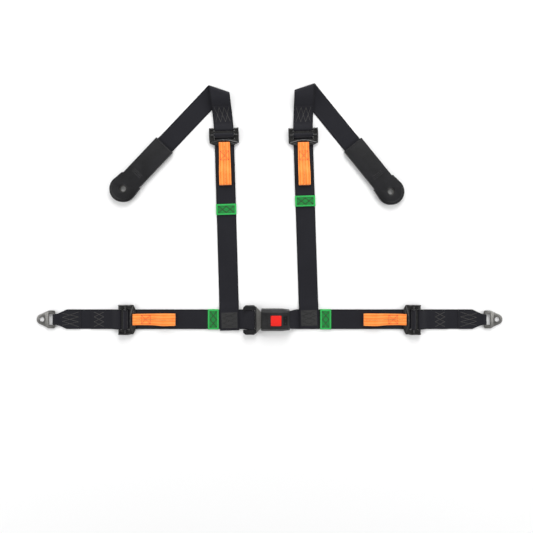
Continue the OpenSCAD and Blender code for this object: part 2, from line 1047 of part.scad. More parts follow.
lap_left_webbing();
lap_left_wrap();
lap_left_tail();
lap_left_tail_end();
lap_left_frame();
lap_left_slide_bar();
lap_left_pull_tab();
lap_left_anchor_strap();
lap_left_plate();
lap_right_webbing();
lap_right_wrap();
lap_right_tail();
lap_right_tail_end();
lap_right_frame();
lap_right_slide_bar();
lap_right_pull_tab();
lap_right_anchor_strap();
lap_right_plate();
shoulder_left_webbing();
shoulder_left_wrap();
shoulder_left_tail();
shoulder_left_tail_end();
shoulder_left_frame();
shoulder_left_slide_bar();
shoulder_left_pull_tab();
shoulder_left_anchor_strap();
shoulder_left_fold();
shoulder_left_end_strap();
shoulder_left_anchor_plate();
shoulder_left_boot();
shoulder_right_webbing();
shoulder_right_wrap();
shoulder_right_tail();
shoulder_right_tail_end();
shoulder_right_frame();
shoulder_right_slide_bar();
shoulder_right_pull_tab();
shoulder_right_anchor_strap();
shoulder_right_fold();
shoulder_right_end_strap();
shoulder_right_anchor_plate();
shoulder_right_boot();
tongue_plate();
tongue_cover();
tongue_loop();
buckle_base();
buckle_cover();
buckle_frame();
buckle_screws();
buckle_loop();
button();
button_springs();
latch_leaf();
ejector();
ejector_spring();
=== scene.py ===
import json
import math

import bmesh
import bpy
from mathutils import Matrix, Vector

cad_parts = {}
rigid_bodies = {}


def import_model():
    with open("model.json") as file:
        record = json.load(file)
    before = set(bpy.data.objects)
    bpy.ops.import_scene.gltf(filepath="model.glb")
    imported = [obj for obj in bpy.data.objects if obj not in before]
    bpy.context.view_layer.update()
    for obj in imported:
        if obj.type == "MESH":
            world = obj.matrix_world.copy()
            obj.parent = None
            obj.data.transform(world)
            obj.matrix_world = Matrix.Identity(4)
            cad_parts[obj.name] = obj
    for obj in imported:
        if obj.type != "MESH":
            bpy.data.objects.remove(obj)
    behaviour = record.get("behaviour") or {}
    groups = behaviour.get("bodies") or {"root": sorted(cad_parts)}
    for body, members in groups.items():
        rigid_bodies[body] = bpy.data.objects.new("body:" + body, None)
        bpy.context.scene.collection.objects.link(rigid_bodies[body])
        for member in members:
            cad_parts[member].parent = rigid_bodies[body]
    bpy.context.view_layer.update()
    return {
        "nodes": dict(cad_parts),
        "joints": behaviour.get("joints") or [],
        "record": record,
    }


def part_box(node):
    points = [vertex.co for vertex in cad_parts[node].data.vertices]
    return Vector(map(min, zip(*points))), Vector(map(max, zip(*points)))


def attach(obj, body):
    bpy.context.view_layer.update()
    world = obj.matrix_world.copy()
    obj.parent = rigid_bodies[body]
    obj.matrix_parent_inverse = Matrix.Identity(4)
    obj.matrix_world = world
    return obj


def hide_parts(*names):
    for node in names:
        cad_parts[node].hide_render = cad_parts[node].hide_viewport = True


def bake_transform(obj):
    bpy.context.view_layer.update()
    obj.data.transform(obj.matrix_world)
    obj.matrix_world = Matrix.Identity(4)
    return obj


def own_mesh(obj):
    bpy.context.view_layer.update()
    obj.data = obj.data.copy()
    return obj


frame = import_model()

mm = 0.001

# ---- Limbs: the four straps that leave the sewn joints beside the buckle and the tongue ----
# Each limb is laid out from its own slide bar: s runs towards the buckle, v across the webbing and z up
# from the floor. Its place comes from the joints that carry its grip, its pull tab and its end.

joints = {joint["name"]: joint for joint in frame["joints"]}
mounts = {mount["name"]: mount for mount in frame["record"]["mounts"]}
TAB_BAR_S = 19.5 * mm
UP = Vector((0, 0, 1))


def limb_place(limb):
    towards_buckle = Vector(joints[limb + "_grip"]["axis"]).normalized()
    tab_bar = Vector(joints[limb + "_pull"]["pos_m"])
    origin = tab_bar - towards_buckle * TAB_BAR_S
    across = UP.cross(towards_buckle)
    place = Matrix((towards_buckle, across, UP)).transposed().to_4x4()
    place.translation = (origin.x, origin.y, 0)
    return place


LAPS = ("lap_left", "lap_right")
SHOULDERS = ("shoulder_left", "shoulder_right")
LIMBS = LAPS + SHOULDERS
places = {limb: limb_place(limb) for limb in LIMBS}
root_of = {limb: joints[limb + "_adjust"]["parent"] for limb in LIMBS}


def in_limb(limb, point):
    return places[limb].inverted() @ Vector(point)


def node_span(limb, node):
    low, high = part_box(node)
    corners = [in_limb(limb, (x, y, 0)) for x in (low[0], high[0]) for y in (low[1], high[1])]
    return min(c.x for c in corners), max(c.x for c in corners)


# ---- Webbing: woven black polyester, two inches wide and 1.5 mm thick ----
# It is one long ribbon with a fine ribbed weave, a firm selvedge along both edges and a dull sheen.
# Every run is a flat tube of cloth bent onto its route, with the weave laid out along it.

WEB = 1.5 * mm
HALF_WEB = 24 * mm
RIB = 1.15 * mm
WARP = 0.9 * mm
SELVEDGE = 2.2 * mm
STREAK = 7.2 * mm
WEB_DARK = (0.0035, 0.0035, 0.0050, 1)
WEB_LIGHT = (0.019, 0.019, 0.024, 1)


def new_finish(name, colour, roughness, metallic=0.0):
    finish = bpy.data.materials.new(name)
    finish.use_nodes = True
    shader = finish.node_tree.nodes["Principled BSDF"]
    shader.inputs["Base Color"].default_value = colour
    shader.inputs["Roughness"].default_value = roughness
    shader.inputs["Metallic"].default_value = metallic
    return finish, finish.node_tree.nodes, finish.node_tree.links.new, shader


def add_node(nodes, kind, **settings):
    node = nodes.new("ShaderNode" + kind)
    for key, value in settings.items():
        setattr(node, key, value)
    return node


def sum_up(nodes, link, operation, first, second):
    node = add_node(nodes, "Math", operation=operation)
    for socket, value in zip(node.inputs, (first, second)):
        if isinstance(value, (int, float)):
            socket.default_value = value
        else:
            link(value, socket)
    return node.outputs[0]


def ramp(nodes, link, factor, stops):
    node = add_node(nodes, "ValToRGB")
    elements = node.color_ramp.elements
    for spare in range(len(stops) - 2):
        elements.new(0.5)
    for element, (position, colour) in zip(elements, stops):
        element.position = position
        element.color = colour
    link(factor, node.inputs["Fac"])
    return node.outputs["Color"]


def grain(nodes, link, where, scale, detail=3.0):
    node = add_node(nodes, "TexNoise")
    node.inputs["Scale"].default_value = scale
    node.inputs["Detail"].default_value = detail
    link(where, node.inputs["Vector"])
    return node.outputs["Fac"]


def raise_by(nodes, link, height, shader, distance, strength=1.0):
    bump = add_node(nodes, "Bump")
    bump.inputs["Distance"].default_value = distance
    bump.inputs["Strength"].default_value = strength
    link(height, bump.inputs["Height"])
    link(bump.outputs["Normal"], shader.inputs["Normal"])


def woven(name, dark, light, rib, warp, half_width, sheen, streak=0.0):
    finish, nodes, link, shader = new_finish(name, light, 0.72)
    shader.inputs["Sheen Weight"].default_value = sheen
    shader.inputs["Sheen Roughness"].default_value = 0.45
    shader.inputs["Specular IOR Level"].default_value = 0.1
    laid = add_node(nodes, "UVMap", uv_map="weave").outputs["UV"]
    parts = add_node(nodes, "SeparateXYZ")
    link(laid, parts.inputs[0])
    along, across = parts.outputs["X"], parts.outputs["Y"]
    lean = sum_up(nodes, link, "ADD", along, sum_up(nodes, link, "MULTIPLY", across, 0.6))
    ribs = sum_up(nodes, link, "SINE", sum_up(nodes, link, "MULTIPLY", lean, math.tau / rib), 0)
    yarns = sum_up(nodes, link, "SINE", sum_up(nodes, link, "MULTIPLY", across, math.tau / warp), 0)
    both = sum_up(nodes, link, "ADD", ribs, sum_up(nodes, link, "MULTIPLY", yarns, 0.7))
    weave = sum_up(nodes, link, "MULTIPLY", sum_up(nodes, link, "ADD", both, 1.7), 0.29)
    object_point = add_node(nodes, "TexCoord").outputs["Object"]
    fuzz = grain(nodes, link, object_point, 900.0, 2.0)
    wear = grain(nodes, link, object_point, 14.0, 3.0)
    tone = sum_up(nodes, link, "MULTIPLY", weave, 0.55)
    tone = sum_up(nodes, link, "ADD", tone, sum_up(nodes, link, "MULTIPLY", fuzz, 0.3))
    tone = sum_up(nodes, link, "ADD", tone, sum_up(nodes, link, "MULTIPLY", wear, 0.25))
    if streak:
        bands = sum_up(nodes, link, "COSINE", sum_up(nodes, link, "MULTIPLY", across, math.tau / STREAK), 0)
        tone = sum_up(nodes, link, "ADD", tone, sum_up(nodes, link, "MULTIPLY", bands, streak))
        slow = grain(nodes, link, laid, 55.0, 1.0)
        tone = sum_up(nodes, link, "ADD", tone, sum_up(nodes, link, "MULTIPLY", slow, 2.0 * streak))
        tone = sum_up(nodes, link, "SUBTRACT", tone, streak)
    edge = sum_up(nodes, link, "ABSOLUTE", across, 0)
    border = sum_up(nodes, link, "GREATER_THAN", edge, half_width - SELVEDGE)
    tone = sum_up(nodes, link, "SUBTRACT", tone, sum_up(nodes, link, "MULTIPLY", border, 0.3))
    link(ramp(nodes, link, tone, ((0.1, dark), (0.85, light))), shader.inputs["Base Color"])
    raise_by(nodes, link, weave, shader, 0.12 * mm, 0.8)
    return finish


black_webbing = woven("black_webbing", WEB_DARK, WEB_LIGHT, RIB, WARP, HALF_WEB, 0.12)
# Lighter copy of the webbing for the sewn patches at the shoulder joints: a painted highlight where the raised
# weave catches the light.
sewn_webbing_highlight = woven("sewn_webbing_highlight", (0.014, 0.014, 0.015, 1), (0.047, 0.047, 0.047, 1), RIB, WARP, HALF_WEB, 0.2)


def flat_section(columns):
    """Points round a strap: how far across its flat, how far into its round edge, and up or down."""
    flat = [-1 + 2 * k / columns for k in range(columns + 1)]
    turn = [math.pi * k / 4 for k in range(1, 4)]
    top = [(a, 0.0, 1.0) for a in flat]
    right = [(1.0, math.sin(t), math.cos(t)) for t in turn]
    bottom = [(a, 0.0, -1.0) for a in reversed(flat)]
    left = [(-1.0, -math.sin(t), -math.cos(t)) for t in turn]
    return top + right + bottom + left


def bend_cloth(stations, half_width, thick=WEB, columns=12, middle=None):
    """A flat tube of cloth bent onto a route of (s, z) points, with its weave laid along it."""
    section = flat_section(columns)
    count = len(stations)
    points = [Vector(p) for p in stations]
    lengths = [0.0]
    for first, second in zip(points, points[1:]):
        lengths.append(lengths[-1] + (second - first).length)
    normals = []
    for k in range(count):
        ahead = (points[min(k + 1, count - 1)] - points[max(k - 1, 0)]).normalized()
        normals.append(Vector((-ahead.y, ahead.x)))
    bm = bmesh.new()
    weave = bm.loops.layers.uv.new("weave")
    bmesh.ops.create_grid(bm, x_segments=count - 1, y_segments=len(section), size=1)
    radius = thick / 2
    where = {}
    for vert in bm.verts:
        k = round((vert.co.x + 1) / 2 * (count - 1))
        j = round((vert.co.y + 1) / 2 * len(section)) % len(section)
        side, edge, up = section[j]
        half = half_width(points[k].x) if callable(half_width) else half_width
        v = side * (half - radius) + edge * radius
        where[vert] = (k, v, up)
    for face in bm.faces:
        for loop in face.loops:
            k, v, up = where[loop.vert]
            loop[weave].uv = (lengths[k], v)
    for vert, (k, v, up) in where.items():
        spot = points[k] + normals[k] * up * radius
        shift = middle(points[k].x) if middle else 0.0
        vert.co = (spot.x, v + shift, spot.y)
    bmesh.ops.remove_doubles(bm, verts=bm.verts, dist=1e-7)
    close_ends(bm)
    return bm


def close_ends(bm):
    open_edges = [edge for edge in bm.edges if edge.is_boundary]
    bmesh.ops.holes_fill(bm, edges=open_edges, sides=0)
    bmesh.ops.recalc_face_normals(bm, faces=bm.faces)


def arc(centre, radius, start, end, steps):
    angles = [math.radians(start + (end - start) * k / steps) for k in range(steps + 1)]
    return [(centre[0] + radius * math.cos(a), centre[1] + radius * math.sin(a)) for a in angles]


def ease(start, end, steps):
    parts = [k / steps for k in range(1, steps + 1)]
    return [
        (start[0] + (end[0] - start[0]) * f,
         start[1] + (end[1] - start[1]) * (1 - math.cos(math.pi * f)) / 2)
        for f in parts
    ]


def straight(start, end, longest=6 * mm):
    steps = max(1, math.ceil(math.dist(start, end) / longest))
    return [
        (start[0] + (end[0] - start[0]) * k / steps, start[1] + (end[1] - start[1]) * k / steps)
        for k in range(steps + 1)
    ]


def join_routes(*routes):
    joined = []
    for route in routes:
        for point in route:
            if not joined or math.dist(joined[-1], point) > 1e-6:
                joined.append(point)
    return joined


def mark_sewn_finish(bm, finish_number, half_width, *spans):
    """Gives the sewn areas on the upper side of a strap a second finish: a lighter painted highlight on the
    webbing, a darker green on the tape.
    """
    for face in bm.faces:
        middle = face.calc_center_median()
        inside = any(low < middle.x < high for low, high in spans)
        if inside and abs(middle.y) < half_width and face.normal.z > 0.3:
            face.material_index = finish_number


def make_piece(bm, name, finish, place=None, body=None, replaces=(), crease=35.0):
    if place is not None:
        bmesh.ops.transform(bm, matrix=place, verts=bm.verts)
    mesh = bpy.data.meshes.new(name)
    bm.to_mesh(mesh)
    bm.free()
    for one in finish if isinstance(finish, tuple) else (finish,):
        mesh.materials.append(one)
    mesh.shade_smooth()
    mesh.set_sharp_from_angle(angle=math.radians(crease))
    piece = bpy.data.objects.new(name, mesh)
    bpy.context.scene.collection.objects.link(piece)
    if body:
        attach(piece, body)
    if replaces:
        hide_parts(*replaces)
    return piece


# ---- Lower runs: from each sewn joint out along the floor to the slide bar ----
# The end of the run climbs to the bar. The adjuster can slide along it.

BAR_Z = 9.8 * mm
WRAP_RADIUS = 4.35 * mm
RUN_CORNER = (4 * mm, WEB / 2)
SEWN_HALF = 18.75 * mm


def rise_to_bar():
    """Where the run touches the wrap round the slide bar, and the angle of that point."""
    reach = Vector((0, BAR_Z)) - Vector(RUN_CORNER)
    slope = math.atan2(reach.y, reach.x) + math.asin(WRAP_RADIUS / reach.length)
    length = math.sqrt(reach.length ** 2 - WRAP_RADIUS ** 2)
    way = Vector((math.cos(slope), math.sin(slope)))
    return way, length


rise_way, rise_length = rise_to_bar()
run_end = Vector(RUN_CORNER) + rise_way * rise_length * 0.25
wrap_touch = Vector(RUN_CORNER) + rise_way * rise_length

for limb in LIMBS:
    far_end = node_span(limb, limb + "_webbing")[1]
    low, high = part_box(limb + "_webbing")
    if limb in LAPS:
        route = straight((far_end, WEB / 2), RUN_CORNER)
    else:
        far_end = (in_limb(limb, (0, 0, 0)).x) + HALF_WEB
        sewn = 2 * WEB + WEB / 2
        foot = far_end - 2 * HALF_WEB - 2 * mm
        route = join_routes(
            straight((far_end, sewn), (foot, sewn), 3 * mm),
            ease((foot, sewn), (foot - 24 * mm, WEB / 2), 10),
            straight((foot - 24 * mm, WEB / 2), RUN_CORNER),
        )
    bm = bend_cloth(join_routes(route, [tuple(run_end)]), HALF_WEB)
    if limb in SHOULDERS:
        centre = far_end - HALF_WEB
        # The sewn patch at the joint takes the lighter finish: a painted highlight.
        mark_sewn_finish(bm, 1, SEWN_HALF, (centre - SEWN_HALF, centre + SEWN_HALF))
    run = make_piece(bm, limb + "_run_cloth", (black_webbing, sewn_webbing_highlight), places[limb],
                     replaces=[limb + "_webbing"])
    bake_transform(run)

# ---- Wraps: the webbing over each slide bar ----
# The strap climbs round the far side of the bar, over its top, and dives under the lip as the tail.

TAIL_Z = WEB + 0.3 * mm + WEB / 2
DIVE_Z = 5 * mm
dive_radius = DIVE_Z - TAIL_Z
tail_start = WRAP_RADIUS + dive_radius
touch_angle = math.degrees(math.atan2(wrap_touch.y - BAR_Z, wrap_touch.x)) + 360

for limb in LIMBS:
    route = join_routes(
        straight(tuple(run_end), tuple(wrap_touch), 1.5 * mm),
        arc((0, BAR_Z), WRAP_RADIUS, touch_angle, 0, 26),
        arc((tail_start, DIVE_Z), dive_radius, 180, 270, 8),
    )
    make_piece(bend_cloth(route, HALF_WEB), limb + "_wrap_cloth", black_webbing, places[limb],
               body=limb + "_bar", replaces=[limb + "_wrap"])

# ---- Tails: the free ends that lie on the straps ----
# Pulling a tail shortens its strap.

TAPE_HALF = 25 * mm
TAPE_LENGTH = 26.6 * mm


def tail_length(limb):
    """How far from the slide bar the tape at the end of a tail begins."""
    low, high = (Vector(corner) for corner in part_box(limb + "_tail_end"))
    towards_buckle = places[limb].col[0].to_3d()
    middle = (low + high) / 2 - places[limb].translation
    return middle.dot(towards_buckle) - TAPE_LENGTH / 2


for limb in LIMBS:
    tail_reach = tail_length(limb)
    route = straight((tail_start, TAIL_Z), (tail_reach + 1 * mm, TAIL_Z))
    tail = make_piece(bend_cloth(route, HALF_WEB), limb + "_tail_cloth", black_webbing,
                      places[limb], replaces=[limb + "_tail"])
    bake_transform(tail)

# ---- Stitching: rows of bonded thread ----
# Each stitch is a short grain of thread that sinks at both ends into the cloth it holds down.

THREAD = 0.55 * mm
TWIN_GAP = 1.15 * mm
STITCH = 3.4 * mm
STITCH_GAP = 0.2 * mm


def thread_finish(name, colour, sheen=0.2):
    finish, nodes, link, shader = new_finish(name, colour, 0.5)
    shader.inputs["Sheen Weight"].default_value = sheen
    where = add_node(nodes, "TexCoord").outputs["Object"]
    twist = grain(nodes, link, where, 1400.0, 1.0)
    dull = tuple(c * 0.55 for c in colour[:3]) + (1,)
    link(ramp(nodes, link, twist, ((0.3, dull), (0.7, colour))), shader.inputs["Base Color"])
    raise_by(nodes, link, twist, shader, 0.1 * mm, 0.5)
    return finish


black_thread = thread_finish("black_thread", (0.004, 0.004, 0.005, 1))
grey_thread = thread_finish("charcoal_thread", (0.034, 0.032, 0.030, 1))


def sew(rows, height, lift=0.15 * mm, stitch=STITCH, thread=THREAD):
    """Stitches along rows of (s, v) points, lying on a surface whose height and slope come from height(s)."""
    bm = bmesh.new()
    for row in rows:
        for first, second in zip(row, row[1:]):
            a, b = Vector(first), Vector(second)
            count = max(1, round((b - a).length / (stitch + STITCH_GAP)))
            pitch = (b - a) / count
            turn = math.atan2(pitch.y, pitch.x)
            for k in range(count):
                spot = a + pitch * (k + 0.5)
                z, slope = height(spot.x)
                tilt = -math.atan(slope)
                place = (
                    Matrix.Translation((spot.x, spot.y, z + lift))
                    @ Matrix.Rotation(tilt, 4, "Y")
                    @ Matrix.Rotation(turn, 4, "Z")
                    @ Matrix.Diagonal((pitch.length / 2, thread, 0.4 * mm, 1))
                )
                bmesh.ops.create_uvsphere(bm, u_segments=6, v_segments=4, radius=1, matrix=place @
                                          Matrix.Rotation(math.pi / 2, 4, "Y"))
    return bm


def flat_at(z):
    return lambda s: (z, 0.0)


def crossed_zigzag(s0, s1, half, strokes=3, ways=(1, -1)):
    """Two zigzags that cross in a line of X shapes, with their points on the two long sides."""
    rows = []
    for way in ways:
        row = []
        for k in range(strokes + 1):
            v = -half + 2 * half * k / strokes
            row.append((s0 if (k % 2 == 0) == (way > 0) else s1, v))
        rows.append(row)
    return rows


def twin_rows(rows, gap):
    """Every seam is sewn twice, side by side."""
    return [[(s + shift, v) for s, v in row] for row in rows for shift in (-gap / 2, gap / 2)]


def boxed_cross(s0, s1, half):
    corners = [(s0, -half), (s1, -half), (s1, half), (s0, half), (s0, -half)]
    return [corners, [(s0, -half), (s1, half)], [(s0, half), (s1, -half)]]


# ---- Tail ends: green woven tape folded over each tail and sewn with a dark boxed cross ----
# The tape is a little wider than the webbing and stands proud of it, with a soft folded edge.

TAPE_DARK = (0.010, 0.20, 0.035, 1)
TAPE_LIGHT = (0.040, 0.50, 0.105, 1)
TAPE_THICK = 3.2 * mm
green_tape = woven("green_tape", TAPE_DARK, TAPE_LIGHT, 1.3 * mm, 1.1 * mm, 1.0, 0.3)
pressed_tape = woven("pressed_green_tape", (0.006, 0.10, 0.018, 1), (0.020, 0.27, 0.055, 1), 1.3 * mm, 1.1 * mm, 1.0, 0.2)
green_thread = thread_finish("dark_green_thread", (0.016, 0.030, 0.010, 1))

for limb in LIMBS:
    s0 = tail_length(limb)
    s1 = s0 + TAPE_LENGTH
    low = TAIL_Z - WEB / 2
    z = low + TAPE_THICK / 2
    bm = bend_cloth(straight((s1, z), (s0, z), 1.5 * mm), TAPE_HALF, TAPE_THICK, 24)
    ends = [e for e in bm.edges if all(abs(v.co.x - s1) < 1e-6 or abs(v.co.x - s0) < 1e-6 for v in e.verts)]
    bmesh.ops.bevel(bm, geom=ends, offset=0.8 * mm, offset_type="OFFSET", segments=3, profile=0.5,
                    affect="EDGES", material=-1, clamp_overlap=True)
    for vert in bm.verts:
        if vert.co.z > z:
            pinch = math.exp(-(((abs(vert.co.y) - 19 * mm) / (1.6 * mm)) ** 2))
            vert.co.z -= 0.25 * mm * pinch
    mark_sewn_finish(bm, 1, 20 * mm, (s0 + 5 * mm, s1 - 5 * mm))
    make_piece(bm, limb + "_tail_tape", (green_tape, pressed_tape), places[limb], body=limb + "_tail",
               replaces=[limb + "_tail_end"])
    top = low + TAPE_THICK
    m0, m1 = s0 + 4.5 * mm, s1 - 4.5 * mm
    border = [(m0, -20 * mm), (m1, -20 * mm), (m1, 20 * mm), (m0, 20 * mm), (m0, -20 * mm)]
    bows = crossed_zigzag(m0 + 1 * mm, m1 - 1 * mm, 19 * mm, 2)
    seam = sew([border] + twin_rows(bows, TWIN_GAP), flat_at(top), 0.1 * mm)
    make_piece(seam, limb + "_tail_stitches", green_thread, places[limb], body=limb + "_tail")

# ---- Adjuster frames: pressed steel with a black coat ----
# Two rails with turned-up sides carry the slide bar. A wavy lip across the front grips the webbing,
# and two paws beside it hold the bar of the pull tab.

COAT_DARK = (0.004, 0.004, 0.0045, 1)
COAT_LIGHT = (0.028, 0.027, 0.025, 1)


def coated_steel(name, dark, light, roughness):
    finish, nodes, link, shader = new_finish(name, light, roughness)
    shader.inputs["Specular IOR Level"].default_value = 0.35
    shader.inputs["Coat Weight"].default_value = 0.25
    shader.inputs["Coat Roughness"].default_value = 0.12
    where = add_node(nodes, "TexCoord").outputs["Object"]
    mottle = grain(nodes, link, where, 240.0, 4.0)
    link(ramp(nodes, link, mottle, ((0.35, dark), (0.75, light))), shader.inputs["Base Color"])
    raise_by(nodes, link, grain(nodes, link, where, 1500.0, 2.0), shader, 0.03 * mm, 0.5)
    return finish


def cad_copy(node, bevel, segments=2, angle=28.0):
    """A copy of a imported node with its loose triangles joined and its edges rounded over."""
    bm = bmesh.new()
    bm.from_mesh(frame["nodes"][node].data)
    bmesh.ops.remove_doubles(bm, verts=bm.verts, dist=1e-6)
    bmesh.ops.dissolve_limit(bm, angle_limit=math.radians(1.0), verts=bm.verts, edges=bm.edges)
    sharp = [
        e for e in bm.edges
        if len(e.link_faces) == 2 and e.calc_face_angle(0.0) > math.radians(angle)
    ]
    if bevel:
        bmesh.ops.bevel(bm, geom=sharp, offset=bevel, offset_type="OFFSET", segments=segments,
                        profile=0.5, affect="EDGES", material=-1, clamp_overlap=True)
    return bm


def bead(bm, route, radius, sides=8):
    """A round bead of metal or plastic along a route of points, with closed ends."""
    points = [Vector(p) for p in route]
    rings = []
    for k, point in enumerate(points):
        ahead = (points[min(k + 1, len(points) - 1)] - points[max(k - 1, 0)]).normalized()
        place = Matrix.Translation(point) @ ahead.to_track_quat("Z", "Y").to_matrix().to_4x4()
        size = radius if not callable(radius) else radius(k / (len(points) - 1))
        ring = bmesh.ops.create_circle(bm, segments=sides, radius=size, matrix=place)
        rings.append(ring["verts"])
    for first, second in zip(rings, rings[1:]):
        edges = [e for ring in (first, second) for v in ring for e in v.link_edges
                 if e.other_vert(v) in ring]
        bmesh.ops.bridge_loops(bm, edges=list(set(edges)))
    for ring in (rings[0], rings[-1]):
        bmesh.ops.contextual_create(bm, geom=ring)


frame_coat = coated_steel("black_coated_steel", COAT_DARK, COAT_LIGHT, 0.3)
PLATE_TOP = 7.5 * mm
LIP_RADIUS = 1.7 * mm
LIP_STEP = 4.6 * mm


def lip_line(v):
    """How far forward the gull-wing edge of the lip lies: near at the middle, back at the sides."""
    out = min(abs(v) / (33 * mm), 1.0)
    notch = math.exp(-((v / (2.0 * mm)) ** 2))
    return (11.6 + 7.4 * out ** 1.35 + 1.6 * notch) * mm


for limb in LIMBS:
    bm = cad_copy(limb + "_frame", 0.35 * mm)
    wave = [-33.2 + 66.4 * k / 44 for k in range(45)]
    for side in (-1, 1):
        outer_wave = [side * (16.5 + 11 * k / 12) for k in range(13)]
        edge_line = [(lip_line(v * mm) + LIP_STEP, v * mm, PLATE_TOP + 0.1 * mm) for v in outer_wave]
        bead(bm, [places[limb] @ Vector(p) for p in edge_line], 0.6 * mm)
    bead(bm, [places[limb] @ Vector((lip_line(v * mm), v * mm, PLATE_TOP)) for v in wave], LIP_RADIUS)
    make_piece(bm, limb + "_frame_steel", frame_coat, body=limb + "_adjuster",
               replaces=[limb + "_frame"])

# ---- Slide bars: knurled steel with a turned pin at each end ----
# The knurl bites the webbing, and the pins run in the slots in the frame's sides.

bar_coat = coated_steel("blackened_bar_steel", (0.010, 0.010, 0.011, 1), (0.045, 0.045, 0.046, 1), 0.3)
STEEL = (0.30, 0.295, 0.28, 1)
DULL_STEEL = (0.16, 0.158, 0.15, 1)


def brushed_steel(name, dark, light, roughness=0.34):
    finish, nodes, link, shader = new_finish(name, light, roughness, 1.0)
    where = add_node(nodes, "TexCoord").outputs["Object"]
    stretch = add_node(nodes, "Mapping")
    stretch.inputs["Scale"].default_value = (1.0, 14.0, 6.0)
    link(where, stretch.inputs["Vector"])
    lines = grain(nodes, link, stretch.outputs["Vector"], 160.0, 4.0)
    link(ramp(nodes, link, lines, ((0.3, dark), (0.7, light))), shader.inputs["Base Color"])
    raise_by(nodes, link, lines, shader, 0.04 * mm, 0.5)
    return finish


plain_steel = brushed_steel("brushed_steel", DULL_STEEL, STEEL)
PIN_TIP = 35.7 * mm
KNURL_TIP = 24.5 * mm

for limb in LIMBS:
    bm = bmesh.new()
    turned = (
        (0, 0), (PIN_TIP, 0), (PIN_TIP, 1.6), (PIN_TIP - 0.4 * mm, 2.0), (KNURL_TIP, 2.0),
        (KNURL_TIP, 3.1), (KNURL_TIP - 0.5 * mm, 3.5), (0, 3.5),
    )
    profile = [bm.verts.new((r * mm, v, 0)) for v, r in turned[1:]]
    edges = [bm.edges.new(pair) for pair in zip(profile, profile[1:])]
    bmesh.ops.spin(bm, geom=profile + edges, cent=(0, 0, 0), axis=(0, 1, 0), angle=math.tau, steps=48,
                   use_merge=True)
    bmesh.ops.remove_doubles(bm, verts=bm.verts, dist=1e-7)
    half = bm.verts[:] + bm.edges[:] + bm.faces[:]
    bmesh.ops.mirror(bm, geom=half, axis="Y", merge_dist=1e-6)
    long_edges = [e for e in bm.edges if e.calc_length() > 10 * mm]
    bmesh.ops.subdivide_edges(bm, edges=long_edges, cuts=24, use_grid_fill=True)
    for vert in bm.verts:
        out = math.hypot(vert.co.x, vert.co.z)
        if out > 3.4 * mm and abs(vert.co.y) < KNURL_TIP - 1 * mm:
            angle = math.atan2(vert.co.z, vert.co.x)
            cut = 0.12 * mm * (math.cos(angle * 24) + 1)
            vert.co.x -= math.cos(angle) * cut
            vert.co.z -= math.sin(angle) * cut
    bmesh.ops.recalc_face_normals(bm, faces=bm.faces)
    place = places[limb] @ Matrix.Translation((0, 0, BAR_Z))
    make_piece(bm, limb + "_slide_bar_steel", bar_coat, place, body=limb + "_bar",
               replaces=[limb + "_slide_bar"])

# ---- Pull tabs: orange tape looped round the tab bar, sewn flat, and left open as a finger loop ----
# A red boxed cross holds the two layers, and a dark tracer thread runs down the middle of the tape.

TAB_HALF = 14.5 * mm
TAB_TAPE = 1.2 * mm
TAB_BAR = (TAB_BAR_S, 6.3 * mm)
TAB_LOW = TAB_BAR[1] - 1.3 * mm - 0.2 * mm - TAB_TAPE / 2
TAB_SECOND = TAB_LOW + TAB_TAPE + 0.05 * mm
TAB_NOSE = 3.6 * mm
tab_far = TAB_BAR_S + 103 * mm - TAB_NOSE - TAB_TAPE / 2
ORANGE_DARK = (0.80, 0.13, 0.012, 1)
ORANGE_LIGHT = (1.0, 0.36, 0.085, 1)
orange_tape = woven("orange_tape", ORANGE_DARK, ORANGE_LIGHT, 1.25 * mm, 1.6 * mm, 1.0, 0.25, 0.22)
red_thread = thread_finish("red_thread", (0.75, 0.045, 0.01, 1))
tracer_thread = thread_finish("tracer_thread", (0.10, 0.022, 0.012, 1))
PUFF = (96 * mm, 13.6 * mm)
SEWN = (62 * mm, 38 * mm)


def tab_top():
    nose_top = (tab_far, TAB_LOW + 2 * TAB_NOSE)
    return join_routes(
        [nose_top], ease(nose_top, PUFF, 10), ease(PUFF, (SEWN[0], TAB_SECOND), 16),
        straight((SEWN[0], TAB_SECOND), (SEWN[1], TAB_SECOND), 3 * mm),
        ease((SEWN[1], TAB_SECOND), (TAB_BAR_S, 2 * TAB_BAR[1] - TAB_LOW), 10),
    )


top_line = tab_top()


def tab_height(s):
    """Height and slope of the upper face of the tape."""
    line = sorted(top_line)
    for (s0, z0), (s1, z1) in zip(line, line[1:]):
        if s0 <= s <= s1:
            slope = (z1 - z0) / max(s1 - s0, 1e-9)
            return z0 + slope * (s - s0) + TAB_TAPE / 2, slope
    return line[-1][1] + TAB_TAPE / 2, 0.0


def tab_half(s):
    """The tape spreads a little towards the finger loop."""
    return TAB_HALF - 0.9 * mm + 0.9 * mm * min(1.0, max(0.0, (s - 30 * mm) / (60 * mm)))


for limb in LIMBS:
    nose = (tab_far, TAB_LOW + TAB_NOSE)
    loop = join_routes(
        arc(TAB_BAR, TAB_BAR[1] - TAB_LOW, 90, 270, 12),
        straight((TAB_BAR_S, TAB_LOW), (tab_far, TAB_LOW), 4 * mm),
        arc(nose, TAB_NOSE, -90, 90, 12),
        top_line,
    )
    bm = bend_cloth(loop, tab_half, TAB_TAPE, 12)
    make_piece(bm, limb + "_pull_tape", orange_tape, places[limb], body=limb + "_tab",
               replaces=[limb + "_pull_tab"])
    s0, s1, v = SEWN[1] + 0.5 * mm, SEWN[0] - 1.5 * mm, 10.5 * mm
    seam = sew(boxed_cross(s0, s1, v), tab_height, 0.05 * mm, 2.6 * mm, 0.65 * mm)
    make_piece(seam, limb + "_pull_stitches", red_thread, places[limb], body=limb + "_tab")
    tracer = sew([[(26 * mm, 0), (36 * mm, 0)], [(41 * mm, 0), (118 * mm, 0)]], tab_height, 0.0,
                 3.2 * mm, 0.5 * mm)
    make_piece(tracer, limb + "_pull_tracer", tracer_thread, places[limb], body=limb + "_tab")

